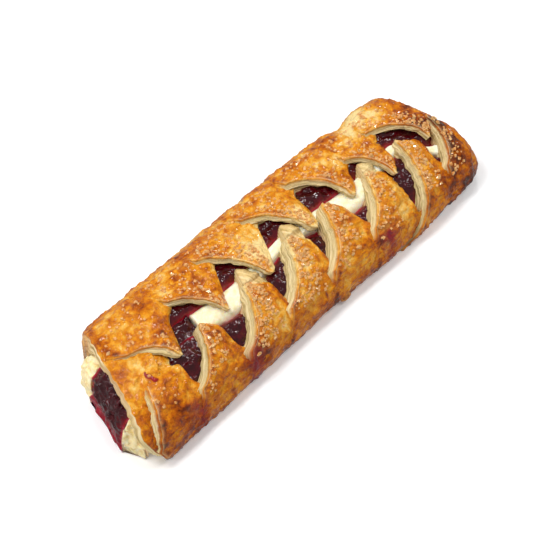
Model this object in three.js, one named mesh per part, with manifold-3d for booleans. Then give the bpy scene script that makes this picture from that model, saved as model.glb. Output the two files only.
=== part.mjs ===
// Cherry strudel: a puff pastry loaf braided over ropes of cherry gel and cream cheese.
// One dough sheet makes the base, the walls and the strips that fold over the filling from
// both sides in turn. Millimetres, +Z up. X runs along the loaf from its open end at -X to
// its closed end at +X, -Y is the loaf's right side, and the loaf rests on Z = 0.
import * as THREE from 'three';
import Module from 'manifold-3d';

const wasm = await Module();
wasm.setup();

const DEG = Math.PI / 180;

// The loaf's outer form
const LOAF_HALF_LENGTH = 129; // from the middle to either end, on the centre line
const OPEN_END = -LOAF_HALF_LENGTH;
const LOAF_HALF_WIDTH = 44.5;
const FAR_HALF_WIDTH = 42; // the loaf narrows towards its closed end
const LOAF_HEIGHT = 38.5;
const FAR_HEIGHT = 37;
const ROUNDNESS = 2.8; // exponent of the rounded box section
const END_SLANT = 0.23; // how far each end runs on per millimetre towards the right side
const MOUTH_ROUNDING = 7.5; // the right corner of the open end is set back by this
const LEFT_MOUTH_ROUNDING = 1; // and its left corner
const RIM_FORWARD = 1.8; // and its right half stands forward by this
const FAR_ROUNDING = 13; // length over which the closed end rounds off
const FAR_RIGHT_ROUNDING = 22; // and at its right corner
const SHOULDER_DENT = 4.5; // depth of the dent in the left shoulder, between the last two strips
const SHOULDER_DENT_AT = 93;
const SHOULDER_DENT_LENGTH = 9;
const WAIST = 2.2; // the right wall is this much slimmer halfway along
const FOOT_TUCK = 2.4; // the foot of the wall turns in
const ORIGIN_SHIFT = [5.8, 0.6, 0]; // brings the middle of the whole over the origin

// The dough sheet
const BASE_THICKNESS = 4;
const WALL_THICKNESS = 6;
const ROOF_THICKNESS = 7; // strips baked up to this, from the crust down to the filling
const LIP_THICKNESS = 3.2; // wall and roof at the open end
const LIP_LENGTH = 14;
const LAYER_GROOVE = 0.6; // depth of the grooves between the layers of a cut edge

// The filling: ropes side by side, whose edges are shares of the hollow's half width
const FILLING_GAP = 0.5;
const OOZE = 14.5; // how far the filling bulges out of the open end
const WALL_EDGE = 0.985; // the outer creams end just inside the wall
const MOUTH_ROOM = 0.85; // the thick fold at the open end's right corner leaves this much room
const LEFT_MOUTH_ROOM = 0.78; // and the one at its left corner
const CHERRY_START = [-0.33, -0.56]; // left edge of the cherry, in the open end and further in
const CHERRY_STOP = [0.52, 0.9]; // and its right edge
const MIDDLE_CREAM_START = -75; // in front of this the two cherry ropes have run into one
const HOLLOW_END = 123;
const HOLLOW_ROUNDING = 12;
const END_WALL_START = 119; // from here on the closed end is dough right through

// Sugar grains baked on the crust
const GRAIN_COUNT = 110;
const GRAIN_RADIUS = 0.95;

// Each strip's near edge starts at its tip, at `at` along the loaf and `tip` degrees round it
// (0 is the ridge, + the right side), and runs back towards the open end by `lean` for each
// degree and by `hook` where the slit ends, `root` degrees from the tip. The far edge starts
// `blunt` past the tip, swells by `reach` within TIP_REACH_ANGLE and flares by `flare` a degree.
// The foot of the cut edge stands `splay` in front of its top. Where the crease below the slit
// runs on faster than CREASE_RUN, `run` says so.
const LEFT_STRIPS = [
  { at: -93.5, tip: 23, lean: 0.05, hook: 27, root: 30.5, blunt: 2.6, reach: 0, flare: 0.25, splay: 6.5,
    run: 0.8 },
  { at: -54.6, tip: 20, lean: 0.15, hook: 21, root: 39.5, blunt: 2, reach: 0, flare: 0.3, splay: 3 },
  { at: -20.7, tip: 20.5, lean: 0.17, hook: 21, root: 53, blunt: 4.8, reach: 1, flare: 0.26, splay: 3 },
  { at: 18, tip: 16, lean: 0.15, hook: 24.5, root: 50.5, blunt: 4.5, reach: 2.7, flare: 0.05, splay: 3.5 },
  { at: 50.9, tip: 16, lean: 0, hook: 30, root: 49, blunt: 2.6, reach: 5.5, flare: 0.12, splay: 5 },
  { at: 80.5, tip: 25, lean: 0, hook: 20.5, root: 41.5, blunt: 2.5, reach: 5.4, flare: 0.07, splay: 4 },
  { at: 114.5, tip: 19.5, lean: 0, hook: 34, root: 44, blunt: 0.5, reach: 9, flare: 0.3, splay: 4 },
];
const RIGHT_STRIPS = [
  { at: -110.5, tip: -6, lean: 0.3, hook: 8, root: 93, blunt: 10, reach: 7, flare: -0.08, splay: 9 },
  { at: -74.2, tip: 12.5, lean: 0.19, hook: 20, root: 39, blunt: 4.2, reach: 6.5, flare: 0, splay: 4 },
  { at: -37.2, tip: 11, lean: 0.15, hook: 21.5, root: 43.5, blunt: 2, reach: 11.5, flare: 0, splay: 6 },
  { at: 1.6, tip: 4, lean: 0.21, hook: 22, root: 46.5, blunt: 3.4, reach: 7.4, flare: 0, splay: 10 },
  { at: 32, tip: 2, lean: 0.12, hook: 22, root: 48.5, blunt: 4.5, reach: 3.6, flare: 0.15, splay: 10 },
  { at: 66.5, tip: 4, lean: 0.14, hook: 19.5, root: 42.5, blunt: 4.3, reach: 7.8, flare: 0, splay: 8 },
  { at: 97, tip: 0, lean: 0.02, hook: 49, root: 94.5, blunt: 0.5, reach: 14, flare: -0.1, splay: 7 },
  { at: 123, tip: 0.5, lean: 0.02, hook: 16, root: 46.5, blunt: 4, reach: 3, flare: 0, splay: 6 },
];
const TIP_REACH_ANGLE = 17;
const TIP_ROUNDING = 5; // degrees over which a tip rounds off

// The cut ends of three right strips run on under the left strips over them, as flaps from
// one angle to another. A flap lies FLAP_DROP under its strip's crest and falls to its end.
const FLAPS = [
  { strip: RIGHT_STRIPS[2], low: -7, high: 24, width: 24 },
  { strip: RIGHT_STRIPS[3], low: -9, high: 16, width: 14 },
  { strip: RIGHT_STRIPS[5], low: -8, high: 12, width: 12 },
];
const FLAP_LEAN = 0.28;
const FLAP_DROP = 3.2;
const FLAP_FALL = 0.07;
const FLAP_TAPER = 0.3; // share of its width that a flap loses towards its high end
const FLAP_DEPTH = 5; // a flap runs on into the roof by this
const FLAP_FOOT = 4; // and its foot stands this far in front of its near edge
const FLAP_SLOPE = 0.25; // its far edge lies lower by this share of its width

const CREST = 2.6; // a strip's near edge stands this far proud of the loaf's form
const DIP = 2.3; // its far edge dips this far under the form
const STRIP_DEPTH = 14; // a strip reaches down this far, where the hollow is cut out of it
const CREASE = 0.9; // and on the wall, below the slit, this is left of both
const CREASE_RUN = 0.15; // the crease runs on towards the open end, for each degree

const pastryMaterial = new THREE.MeshStandardMaterial({ color: 0xd08a3a, roughness: 0.42, metalness: 0 });
const cherryMaterial = new THREE.MeshStandardMaterial({ color: 0x4a0a18, roughness: 0.15, metalness: 0 });
const creamMaterial = new THREE.MeshStandardMaterial({ color: 0xf2e6c4, roughness: 0.5, metalness: 0 });

function mix(a, b, t) {
  return a + (b - a) * t;
}

function ease(from, to, x) {
  const t = Math.min(1, Math.max(0, (x - from) / (to - from)));
  return t * t * (3 - 2 * t);
}

// A seeded random number source, 0 to 1.
function randomSource(seed) {
  let state = seed;
  return () => {
    state = (state * 1664525 + 1013904223) % 4294967296;
    return state / 4294967296;
  };
}

// A closed solid skinned over rings of equal length, each end closed by a fan.
function skin(rings) {
  const count = rings[0].length;
  const points = rings.flat();
  const triangles = [];
  for (let i = 0; i + 1 < rings.length; i++) {
    for (let j = 0; j < count; j++) {
      const a = i * count + j;
      const b = i * count + ((j + 1) % count);
      triangles.push([a, b, b + count], [a, b + count, a + count]);
    }
  }
  for (const [first, outward] of [[0, -1], [(rings.length - 1) * count, 1]]) {
    const ring = points.slice(first, first + count);
    const centre = [0, 1, 2].map((k) => ring.reduce((sum, p) => sum + p[k], 0) / count);
    const hub = points.push(centre) - 1;
    for (let j = 0; j < count; j++) {
      const pair = [first + j, first + ((j + 1) % count)];
      triangles.push(outward > 0 ? [pair[0], pair[1], hub] : [pair[1], pair[0], hub]);
    }
  }
  const volume = triangles.reduce((sum, [a, b, c]) => {
    const [p, q, r] = [points[a], points[b], points[c]];
    return sum + p[0] * (q[1] * r[2] - q[2] * r[1]) + p[1] * (q[2] * r[0] - q[0] * r[2])
      + p[2] * (q[0] * r[1] - q[1] * r[0]);
  }, 0);
  const faces = volume > 0 ? triangles : triangles.map(([a, b, c]) => [a, c, b]);
  return new wasm.Manifold(new wasm.Mesh({
    numProp: 3,
    vertProperties: new Float32Array(points.flat()),
    triVerts: new Uint32Array(faces.flat()),
  }));
}

function fuse(solids) {
  return solids.reduce((whole, solid) => whole.add(solid));
}

// Place along the loaf of a point `right` of the centre line, as both ends slant.
function slanted(along, right) {
  return along + END_SLANT * right * along / LOAF_HALF_LENGTH;
}

// The closed end rounds off as a steep superellipse.
function endRounding(along, end, length, power) {
  const t = Math.min(0.97, Math.max(0, (along - end + length) / length));
  return (1 - t ** power) ** (1 / power);
}

// Distance of the loaf's form from the centre line of its base: a rounded box in polar form,
// `angle` degrees round from the ridge.
function sectionRadius(along, angle) {
  const sine = Math.sin(angle * DEG);
  const taper = ease(40, 125, along);
  const waist = WAIST * Math.exp(-((along / 38) ** 2)) * Math.max(0, sine) ** 2;
  const halfWidth = mix(LOAF_HALF_WIDTH, FAR_HALF_WIDTH, taper) - waist;
  const height = mix(LOAF_HEIGHT, FAR_HEIGHT, taper) + 0.5 * Math.sin(along / 17);
  const radius = ((Math.abs(sine) / halfWidth) ** ROUNDNESS
    + (Math.abs(Math.cos(angle * DEG)) / height) ** ROUNDNESS) ** (-1 / ROUNDNESS);
  const foot = FOOT_TUCK * ease(76, 90, Math.abs(angle));
  const dentShare = Math.exp(-(((along - SHOULDER_DENT_AT) / SHOULDER_DENT_LENGTH) ** 2));
  const dent = SHOULDER_DENT * dentShare * Math.max(0, -sine) ** 2;
  const rounding = mix(FAR_ROUNDING, FAR_RIGHT_ROUNDING, ease(20, 60, angle));
  return (radius - foot - dent) * endRounding(along, LOAF_HALF_LENGTH + 3, rounding, 4);
}

// Place along the loaf of a point of its form.
function onForm(along, angle) {
  return slanted(along, sectionRadius(along, angle) * Math.sin(angle * DEG));
}

// The form's radius at a true place x: the slant is undone in a few rounds.
function formRadius(x, angle) {
  let along = x;
  for (let round = 0; round < 4; round++) {
    const right = sectionRadius(along, angle) * Math.sin(angle * DEG);
    along = x / (1 + END_SLANT * right / LOAF_HALF_LENGTH);
  }
  return sectionRadius(along, angle);
}

// Low blisters of the crust, as three crossing waves.
function blister(x, angle) {
  return 0.28 * (Math.sin(x * 0.61 + angle * 0.13) + Math.sin(x * 0.37 - angle * 0.29)
    + Math.sin(angle * 0.21 + x * 0.11));
}

function polar(x, angle, radius) {
  return [x, -radius * Math.sin(angle * DEG), Math.max(0, radius * Math.cos(angle * DEG))];
}

// The slit behind each strip closes where the next strip of its side has its root.
for (const [strips, side] of [[LEFT_STRIPS, -1], [RIGHT_STRIPS, 1]]) {
  strips.forEach((strip, i) => {
    const behind = strips[i + 1] ?? strip;
    strip.shut = behind.root + side * (behind.tip - strip.tip);
  });
}

// How far the near edge lies in front of the tip, `q` degrees from it. Past the root, where
// the slit has closed, the crease goes on down the wall.
function nearOffset(strip, q) {
  const share = Math.min(q, strip.root * 0.97) / strip.root;
  const past = Math.max(0, q - strip.root * 0.97);
  return strip.lean * q + strip.hook * (1 - Math.sqrt(1 - share * share)) + (strip.run ?? CREASE_RUN) * past;
}

// How far the far edge lies behind the tip. Where its slit closes it runs on under the next
// strip.
function farOffset(strip, q) {
  const turn = Math.min(1, q / TIP_REACH_ANGLE) * Math.PI / 2;
  const under = Math.min(20, 0.04 * Math.max(0, q - strip.shut + 12) ** 2);
  return strip.blunt + strip.reach * Math.sin(turn) + strip.flare * q + under;
}

// The crust's height over the loaf's form, `share` of the way from near edge to far edge.
function crustRise(strip, q, share) {
  const open = 1 - ease(strip.root - 4, strip.root + 14, q);
  const crest = mix(CREASE, CREST, open) * (0.55 + 0.45 * ease(0, 14, q));
  const dip = mix(CREASE, DIP, open);
  return crest * (1 - share) ** 1.3 - dip * share ** 1.8 + 0.9 * Math.sin(Math.PI * share);
}

// The rim of the open end, set back at both corners.
function rim(angle) {
  const rounding = angle > 0 ? MOUTH_ROUNDING : LEFT_MOUTH_ROUNDING;
  const setBack = rounding * ease(52, 90, Math.abs(angle));
  return onForm(OPEN_END, angle) - RIM_FORWARD * ease(-20, 30, angle) + setBack;
}

// Both edges of a strip, kept between the loaf's ends. They meet in a round tip.
function stripEdges(strip, angle, q) {
  const first = rim(angle) + 1.5;
  const last = onForm(LOAF_HALF_LENGTH - 1, angle);
  const narrowed = 1 - Math.sqrt(1 - (1 - Math.min(1, q / TIP_ROUNDING)) ** 2);
  const inset = narrowed * farOffset(strip, q) / 2;
  return [
    Math.min(last - 4, Math.max(first, strip.at - nearOffset(strip, q) + inset)),
    Math.max(first + 4, Math.min(last, strip.at + farOffset(strip, q) - inset)),
  ];
}

function crustPoint(strip, side, q, share, sunk = 0) {
  const angle = strip.tip + side * q;
  const [near, far] = stripEdges(strip, angle, q);
  const x = mix(near, far, share);
  const radius = formRadius(x, angle) + crustRise(strip, q, share) + blister(x, angle);
  return polar(x, angle, radius - sunk);
}

// One strip: a slab on the loaf's form, from its tip down the wall to the base. Its near
// face is a cut edge with grooves between its layers.
function stripSolid(strip, side) {
  const last = 89.5 - side * strip.tip;
  const steps = Math.round(last / 8);
  const turns = Array.from({ length: steps + 1 }, (_, i) => mix(TIP_ROUNDING, last, i / steps));
  const rings = [];
  for (const q of [0.4, 2, ...turns]) {
    const angle = strip.tip + side * q;
    const [near, far] = stripEdges(strip, angle, q);
    const lip = Math.min(1, (far - near) / 4);
    const cut = [[1, 1], [0.62, 1], [0.54, 0], [0.4, 1], [0.32, 0], [0.2, 0.9]].map(([depth, out]) => {
      const x = Math.max(rim(angle) + 0.5, near - strip.splay * depth) + LAYER_GROOVE * (1 - out);
      return polar(x, angle, formRadius(near, angle) + crustRise(strip, q, 0) - depth * STRIP_DEPTH);
    });
    const shares = [lip / (far - near), 0.25, 0.45, 0.65, 0.85];
    const crust = shares.map((share) => crustPoint(strip, side, q, share));
    const back = [polar(far, angle, formRadius(far, angle) + crustRise(strip, q, 1) - lip * 1.5),
      polar(far, angle, formRadius(far, angle) - STRIP_DEPTH),
      polar(mix(near, far, 0.5), angle, formRadius(mix(near, far, 0.5), angle) - STRIP_DEPTH)];
    rings.push([...cut, ...crust, ...back]);
  }
  return skin(rings);
}

// The cut end of a right strip, a slab that dips under the left strip over it.
function flapSolid({ strip, low, high, width }) {
  const steps = 4;
  const rings = [];
  for (let i = 0; i <= steps; i++) {
    const angle = mix(low, high, i / steps);
    const near = strip.at + FLAP_LEAN * Math.max(0, strip.tip - angle);
    const fall = FLAP_FALL * (high - angle) ** 1.2;
    const across = width * (1 - FLAP_TAPER * i / steps);
    const crest = crustRise(strip, TIP_REACH_ANGLE, 0);
    const ring = [0, 0.5, 1].map((share) => {
      const x = near + across * share;
      const drop = fall + Math.max(FLAP_DROP, FLAP_SLOPE * across * share);
      return polar(x, angle, formRadius(x, angle) + crest - drop);
    });
    for (const x of [near + across, near - FLAP_FOOT]) {
      ring.push(polar(x, angle, formRadius(x, angle) - ROOF_THICKNESS - FLAP_DEPTH));
    }
    rings.push(ring);
  }
  return skin(rings);
}

// The first band of dough, whose front edge is the thin lip of the open end. At the left
// corner it is folded thick, and its front face leans out.
function lipSolid() {
  const depth = 12;
  const rings = [];
  for (let angle = -89.5; angle <= 84; angle += 173.5 / 26) {
    const front = rim(angle) + 0.9 * Math.sin(angle * 0.09);
    const width = mix(26, 12, ease(10, 70, angle));
    const ring = [0, 0.35, 0.7, 1].map((share) => {
      const x = front + width * share;
      const radius = formRadius(x, angle) - 0.6 - 1.3 * share + blister(x, angle);
      return polar(x + (share ? 0 : 0.4), angle, radius - (share ? 0 : 1));
    });
    ring.push(polar(front + width, angle, formRadius(front + width, angle) - depth));
    ring.push(polar(front + 0.6, angle, formRadius(front, angle) - depth));
    const fold = ease(-30, -62, angle);
    ring.push(polar(front - mix(1.5, 6, fold), angle, formRadius(front, angle) - mix(3.4, 10.5, fold)));
    rings.push(ring);
  }
  return skin(rings);
}

// The base sheet with the lower walls, up to `left` and `right` degrees, from one station to
// another. The top is closed straight across, and the hollow is cut out of it afterwards.
function shellSolid(from, to, left, right, sunk) {
  const rings = [];
  const steps = Math.round((to - from) / 9);
  for (let i = 0; i <= steps; i++) {
    const along = mix(from, to, i / steps);
    const ring = [];
    for (let j = 0; j <= 14; j++) {
      const angle = j < 7 ? mix(-90, left, j / 6) : mix(right, 90, (j - 7) / 7);
      const x = Math.max(onForm(along, angle), rim(angle) + 1);
      ring.push(polar(x, angle, sectionRadius(along, angle) - sunk));
    }
    rings.push(ring);
  }
  return skin(rings);
}

// Half width and height of the hollow, which is `gap` smaller for what fills it. The rooms are
// the shares of its halves that the folds at the open end's corners leave.
function hollow(along, gap) {
  const lip = 1 - ease(OPEN_END, OPEN_END + LIP_LENGTH, along);
  const rounding = endRounding(along, HOLLOW_END - gap, HOLLOW_ROUNDING, 4);
  const taper = ease(40, 125, along);
  const waist = WAIST * Math.exp(-((along / 38) ** 2)) * 0.8;
  const wall = mix(WALL_THICKNESS, LIP_THICKNESS, lip);
  const roof = mix(ROOF_THICKNESS, LIP_THICKNESS + 0.6, lip);
  return {
    halfWidth: (mix(LOAF_HALF_WIDTH, FAR_HALF_WIDTH, taper) - waist - wall - gap) * rounding,
    height: (mix(LOAF_HEIGHT, FAR_HEIGHT, taper) - roof - BASE_THICKNESS - 2 * gap) * rounding,
    floor: BASE_THICKNESS + gap,
    rightRoom: drawnIn([MOUTH_ROOM, 1], along),
    leftRoom: drawnIn([LEFT_MOUTH_ROOM, 1], along),
  };
}

// A share that goes from one value in the open end to another further in.
function drawnIn([mouth, inside], along) {
  return mix(mouth, inside, ease(OPEN_END + 3, OPEN_END + 17, along));
}

// The left (-1) or right (1) edge of the middle cream. It wavers along the loaf, as the
// strips pressed it to either side, and turns to the right at the closed end.
function creamEdge(side, along) {
  const centre = 0.12 + 0.09 * Math.cos((along + 45) / 15.1) + 0.5 * ease(94, 112, along);
  return centre + side * (0.16 + 0.05 * Math.cos((along + 50) / 15.1));
}

// How far the filling bulges out of the open end: less towards both walls.
function oozeLength(share) {
  return OOZE * (1 - ease(0.3, 0.95, share)) * (1 - ease(0.6, 1.02, -share));
}

function domeHeight(share) {
  return (1 - Math.abs(share) ** ROUNDNESS) ** (1 / ROUNDNESS);
}

// Stations shared by the hollow and what fills it, close together near both ends.
function stations(from, to) {
  const all = Array.from({ length: 43 }, (_, i) => OPEN_END + 6 * i);
  return all.filter((along, i) => (i < 4 || i > 39 || i % 2 === 1) && along >= from && along <= to);
}

function hollowSolid() {
  const rings = [];
  for (const along of [OPEN_END - 30, ...stations(OPEN_END, HOLLOW_END)]) {
    const { halfWidth, height, floor, rightRoom, leftRoom } = hollow(Math.max(along, OPEN_END), 0);
    const ring = [];
    for (let j = 0; j <= 22; j++) {
      const turn = mix(-90, 90, j / 22) * DEG;
      const power = Math.abs(Math.sin(turn)) ** ROUNDNESS + Math.cos(turn) ** ROUNDNESS;
      const radius = power ** (-1 / ROUNDNESS);
      const right = halfWidth * radius * Math.sin(turn) * (turn > 0 ? rightRoom : leftRoom);
      ring.push([slanted(along, right), -right, floor + height * radius * Math.cos(turn)]);
    }
    rings.push(ring);
  }
  return skin(rings);
}

// A rope of filling between two edges, each a function that gives its share of the hollow's
// half width. One that starts at the open end oozes out of it as a full quarter ellipse, down
// to the surface that the loaf stands on.
function ropeSolid({ from, to, start, end, lumps = 0 }) {
  const rings = [];
  const ooze = start === OPEN_END ? [1, 0.93, 0.8, 0.6, 0.35, 0.12] : [];
  const last = end === HOLLOW_END ? end - FILLING_GAP : end;
  const inner = [...stations(start, last - 1), last];
  for (const [along, out] of [...ooze.map((t) => [OPEN_END - 1, t]), ...inner.map((x) => [x, 0])]) {
    const swell = (1 - Math.min(0.97, out) ** 2.3) ** (1 / 2.3);
    const space = hollow(Math.max(along, OPEN_END), FILLING_GAP);
    const { halfWidth, height, floor } = space;
    const gap = FILLING_GAP / 2 / halfWidth;
    const low = out > 0.2 ? 0.3 : floor;
    const ring = [];
    const place = (share) => {
      const right = share * halfWidth;
      return [slanted(along - oozeLength(share) * out, right), right];
    };
    const [first, final] = [from(along) + gap, to(along) - gap];
    for (let j = 0; j <= 6; j++) {
      const share = mix(first, final, j / 6);
      const [x, right] = place(share);
      const dent = lumps * (1 + Math.sin(x * 0.8 + right * 0.5) * Math.cos(right * 0.7 - x * 0.3));
      const dome = domeHeight(share / (share > 0 ? space.rightRoom : space.leftRoom));
      ring.push([x, -right, mix(low + 1.5, floor + height * dome - dent, swell)]);
    }
    for (const share of [final, first]) {
      const [x, right] = place(share);
      ring.push([x, -right, low]);
    }
    rings.push(ring);
  }
  return skin(rings);
}

// Sugar grains half sunk in the crust of the strips, near each strip's raised edge.
function sugarSolids() {
  const random = randomSource(20);
  const grains = [];
  const strips = [...LEFT_STRIPS.map((s) => [s, -1]), ...RIGHT_STRIPS.slice(0, 7).map((s) => [s, 1])];
  while (grains.length < GRAIN_COUNT) {
    const [strip, side] = strips[grains.length % strips.length];
    const q = mix(14, Math.min(strip.root + 10, 74 - side * strip.tip), random());
    const centre = crustPoint(strip, side, q, mix(0.18, 0.42, random()), -0.1);
    const grain = new THREE.OctahedronGeometry(GRAIN_RADIUS * mix(0.75, 1.2, random()), 0);
    grain.rotateX(random() * 3).rotateY(random() * 3).translate(...centre);
    grains.push(solidOf(grain));
  }
  return grains;
}

// A three.js geometry as a solid, its equal corners shared.
function solidOf(geometry) {
  const { array } = geometry.attributes.position;
  const corners = new Map();
  const faces = [];
  for (let i = 0; i < array.length; i += 3) {
    const key = [array[i], array[i + 1], array[i + 2]].map((v) => v.toFixed(4)).join();
    if (!corners.has(key)) {
      corners.set(key, corners.size);
    }
    faces.push(corners.get(key));
  }
  const points = [...corners.keys()].flatMap((key) => key.split(',').map(Number));
  return new wasm.Manifold(new wasm.Mesh({
    numProp: 3,
    vertProperties: new Float32Array(points),
    triVerts: new Uint32Array(faces),
  }));
}

// A bead of caramelised syrup that ran down the right wall.
function beadSolid() {
  const bead = new THREE.IcosahedronGeometry(4, 1);
  bead.scale(1.1, 0.8, 0.9).translate(13, -41.5, 4.4);
  return solidOf(bead);
}

function meshOf(name, solid, material) {
  const { vertProperties, triVerts } = solid.getMesh();
  const geometry = new THREE.BufferGeometry();
  geometry.setAttribute('position', new THREE.BufferAttribute(new Float32Array(vertProperties), 3));
  geometry.setIndex(new THREE.BufferAttribute(new Uint32Array(triVerts), 1));
  geometry.computeVertexNormals();
  const mesh = new THREE.Mesh(geometry, material);
  mesh.name = name;
  return mesh;
}

// Cutting the hollow can leave loose scraps, which are dropped.
function largestBody(solid) {
  return solid.decompose().reduce((most, body) => (body.volume() > most.volume() ? body : most));
}

function pastrySolid() {
  const dough = [
    shellSolid(OPEN_END, LOAF_HALF_LENGTH + 2.2, -45, 62, 1.2),
    shellSolid(END_WALL_START, LOAF_HALF_LENGTH + 2.2, -6, 6, 1.6),
    lipSolid(),
    ...LEFT_STRIPS.map((strip) => stripSolid(strip, -1)),
    ...RIGHT_STRIPS.map((strip) => stripSolid(strip, 1)),
    ...FLAPS.map(flapSolid),
    beadSolid(),
    ...sugarSolids(),
  ];
  return largestBody(fuse(dough).subtract(hollowSolid()));
}

const creamLeft = (along) => creamEdge(-1, along);
const creamRight = (along) => creamEdge(1, along);
const cherryStart = (along) => drawnIn(CHERRY_START, along);
const cherryStop = (along) => drawnIn(CHERRY_STOP, along);
const leftWall = (along) => -WALL_EDGE * drawnIn([LEFT_MOUTH_ROOM, 1], along);
const rightWall = (along) => WALL_EDGE * drawnIn([MOUTH_ROOM, 1], along);
const merge = MIDDLE_CREAM_START - 1;

const cherrySolid = fuse([
  ropeSolid({ from: cherryStart, to: creamLeft, start: merge - 12, end: HOLLOW_END, lumps: 0.6 }),
  ropeSolid({ from: creamRight, to: cherryStop, start: merge - 12, end: HOLLOW_END, lumps: 0.6 }),
  ropeSolid({ from: cherryStart, to: cherryStop, start: OPEN_END, end: merge, lumps: 0.6 }),
]);
const cream = {
  cream_center: ropeSolid({ from: creamLeft, to: creamRight, start: MIDDLE_CREAM_START, end: HOLLOW_END }),
  cream_left: ropeSolid({ from: leftWall, to: cherryStart, start: OPEN_END, end: HOLLOW_END }),
  cream_right: ropeSolid({ from: cherryStop, to: rightWall, start: OPEN_END, end: HOLLOW_END }),
};

const group = new THREE.Group();
group.position.set(...ORIGIN_SHIFT);
group.add(
  meshOf('pastry', pastrySolid(), pastryMaterial),
  meshOf('cherry_filling', cherrySolid, cherryMaterial),
  ...Object.entries(cream).map(([name, rope]) => meshOf(name, rope, creamMaterial)),
);

export default group;
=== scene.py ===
"""A cherry strudel: one loaf of puff pastry, braided over ropes of cherry gel and cream cheese.

Every shape is worked out in millimetres as the loaf was measured, and goes into its mesh in
metres. X runs along the loaf from its open end at -X, and its right side faces -Y.
"""

import bpy
import numpy as np
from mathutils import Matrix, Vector


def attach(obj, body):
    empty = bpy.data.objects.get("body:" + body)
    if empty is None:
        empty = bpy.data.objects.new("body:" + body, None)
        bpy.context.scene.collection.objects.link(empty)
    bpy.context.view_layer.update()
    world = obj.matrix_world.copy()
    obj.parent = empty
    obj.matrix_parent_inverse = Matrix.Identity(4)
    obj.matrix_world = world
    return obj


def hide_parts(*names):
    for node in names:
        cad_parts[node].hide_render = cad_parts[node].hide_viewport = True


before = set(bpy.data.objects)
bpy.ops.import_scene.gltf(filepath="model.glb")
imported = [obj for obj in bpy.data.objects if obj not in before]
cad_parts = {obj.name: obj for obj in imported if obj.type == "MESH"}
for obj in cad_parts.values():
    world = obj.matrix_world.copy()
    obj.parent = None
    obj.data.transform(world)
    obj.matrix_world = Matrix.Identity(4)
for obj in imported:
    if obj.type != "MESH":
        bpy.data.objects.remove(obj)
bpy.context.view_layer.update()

# ---------------------------------------------------------------------------------------------
# The loaf's form: a long rounded box, narrower at its closed end, both ends cut at a slant.
# Everything below lies on it, so the pastry, the filling and the sugar share these formulas.
MM = 0.001
SHIFT = np.array([5.8, 0.6, 0.0])  # from the loaf's own middle to the frame's origin
HALF_LENGTH = 129.0
HALF_WIDTH, FAR_HALF_WIDTH = 44.5, 42.0
HEIGHT, FAR_HEIGHT = 38.5, 37.0
TAPER_START, TAPER_STOP = 40, 125  # between these places it gets narrower and lower
ROUNDNESS = 2.8
SLANT = 0.23  # both ends stand out by this much more for each millimetre to the right
WAIST, WAIST_LENGTH = 2.2, 38
FOOT_TUCK, FOOT_ANGLE = 2.4, 76
MOUTH_ROUNDING, LEFT_MOUTH_ROUNDING = 7.5, 1.0
FAR_ROUNDING, FAR_RIGHT_ROUNDING = 13.0, 22.0
SHOULDER_DENT, SHOULDER_PLACE, SHOULDER_LENGTH = 4.5, 93, 9


def ease(start, stop, x):
    """0 before start, 1 after stop, and 3t^2 - 2t^3 between them."""
    t = np.clip((x - start) / (stop - start), 0, 1)
    return t * t * (3 - 2 * t)


def mix(a, b, t):
    """The value `t` of the way from a to b."""
    return a + (b - a) * t


def slanted(along, right):
    """Place along the loaf of a point `right` of its centre line, as both ends slant."""
    return along + SLANT * right * along / HALF_LENGTH


def waist(along):
    """How much slimmer the right wall is halfway along: a bell curve."""
    return WAIST * np.exp(-((along / WAIST_LENGTH) ** 2))


def end_rounding(along, end, length, power):
    """A superellipse that falls from 1 to 0 over the last `length` before `end`."""
    t = np.clip((along - end + length) / length, 0, 0.97)
    return (1 - t**power) ** (1 / power)


def box_size(along):
    """Half width and height of the rounded box at a place along it."""
    taper = ease(TAPER_START, TAPER_STOP, along)
    return mix(HALF_WIDTH, FAR_HALF_WIDTH, taper), mix(HEIGHT, FAR_HEIGHT, taper)


def section_radius(along, angle):
    """|y/w|^n + |z/h|^n = 1 in polar form, `angle` degrees round from the ridge. The ridge
    rolls a little, the foot is tucked in, and the left shoulder has a dent."""
    sine, cosine = np.sin(np.radians(angle)), np.cos(np.radians(angle))
    width, height = box_size(along)
    width = width - waist(along) * np.maximum(0, sine) ** 2
    height = height + 0.5 * np.sin(along / 17)
    radius = ((np.abs(sine) / width) ** ROUNDNESS
              + (np.abs(cosine) / height) ** ROUNDNESS) ** (-1 / ROUNDNESS)
    radius = radius - FOOT_TUCK * ease(FOOT_ANGLE, 90, np.abs(angle))
    shoulder = np.exp(-(((along - SHOULDER_PLACE) / SHOULDER_LENGTH) ** 2))
    radius = radius - SHOULDER_DENT * shoulder * np.maximum(0, -sine) ** 2
    rounding = mix(FAR_ROUNDING, FAR_RIGHT_ROUNDING, ease(20, 60, angle))
    return radius * end_rounding(along, HALF_LENGTH + 3, rounding, 4)


def on_form(along, angle):
    """True place along the loaf of the form's point at `along` and `angle`."""
    return slanted(along, section_radius(along, angle) * np.sin(np.radians(angle)))


def form_radius(x, angle):
    """The form's radius at a true place x: four rounds undo the slant."""
    along = x
    for _ in range(4):
        right = section_radius(along, angle) * np.sin(np.radians(angle))
        along = x / (1 + SLANT * right / HALF_LENGTH)
    return section_radius(along, angle)


def rim(angle):
    """The open end's rim, set back at its corners, most of all at the right one."""
    forward = 1.8 * ease(-20, 30, angle)
    rounding = np.where(angle > 0, MOUTH_ROUNDING, LEFT_MOUTH_ROUNDING)
    return on_form(-HALF_LENGTH, angle) - forward + rounding * ease(52, 90, np.abs(angle))


def polar(x, angle, radius):
    """Points of the loaf at `radius` from its base's centre line, never under the floor."""
    turn = np.radians(angle)
    x, right, up = np.broadcast_arrays(x, radius * np.sin(turn), radius * np.cos(turn))
    return np.stack([x, -right, np.maximum(0, up)], axis=-1)


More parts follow.
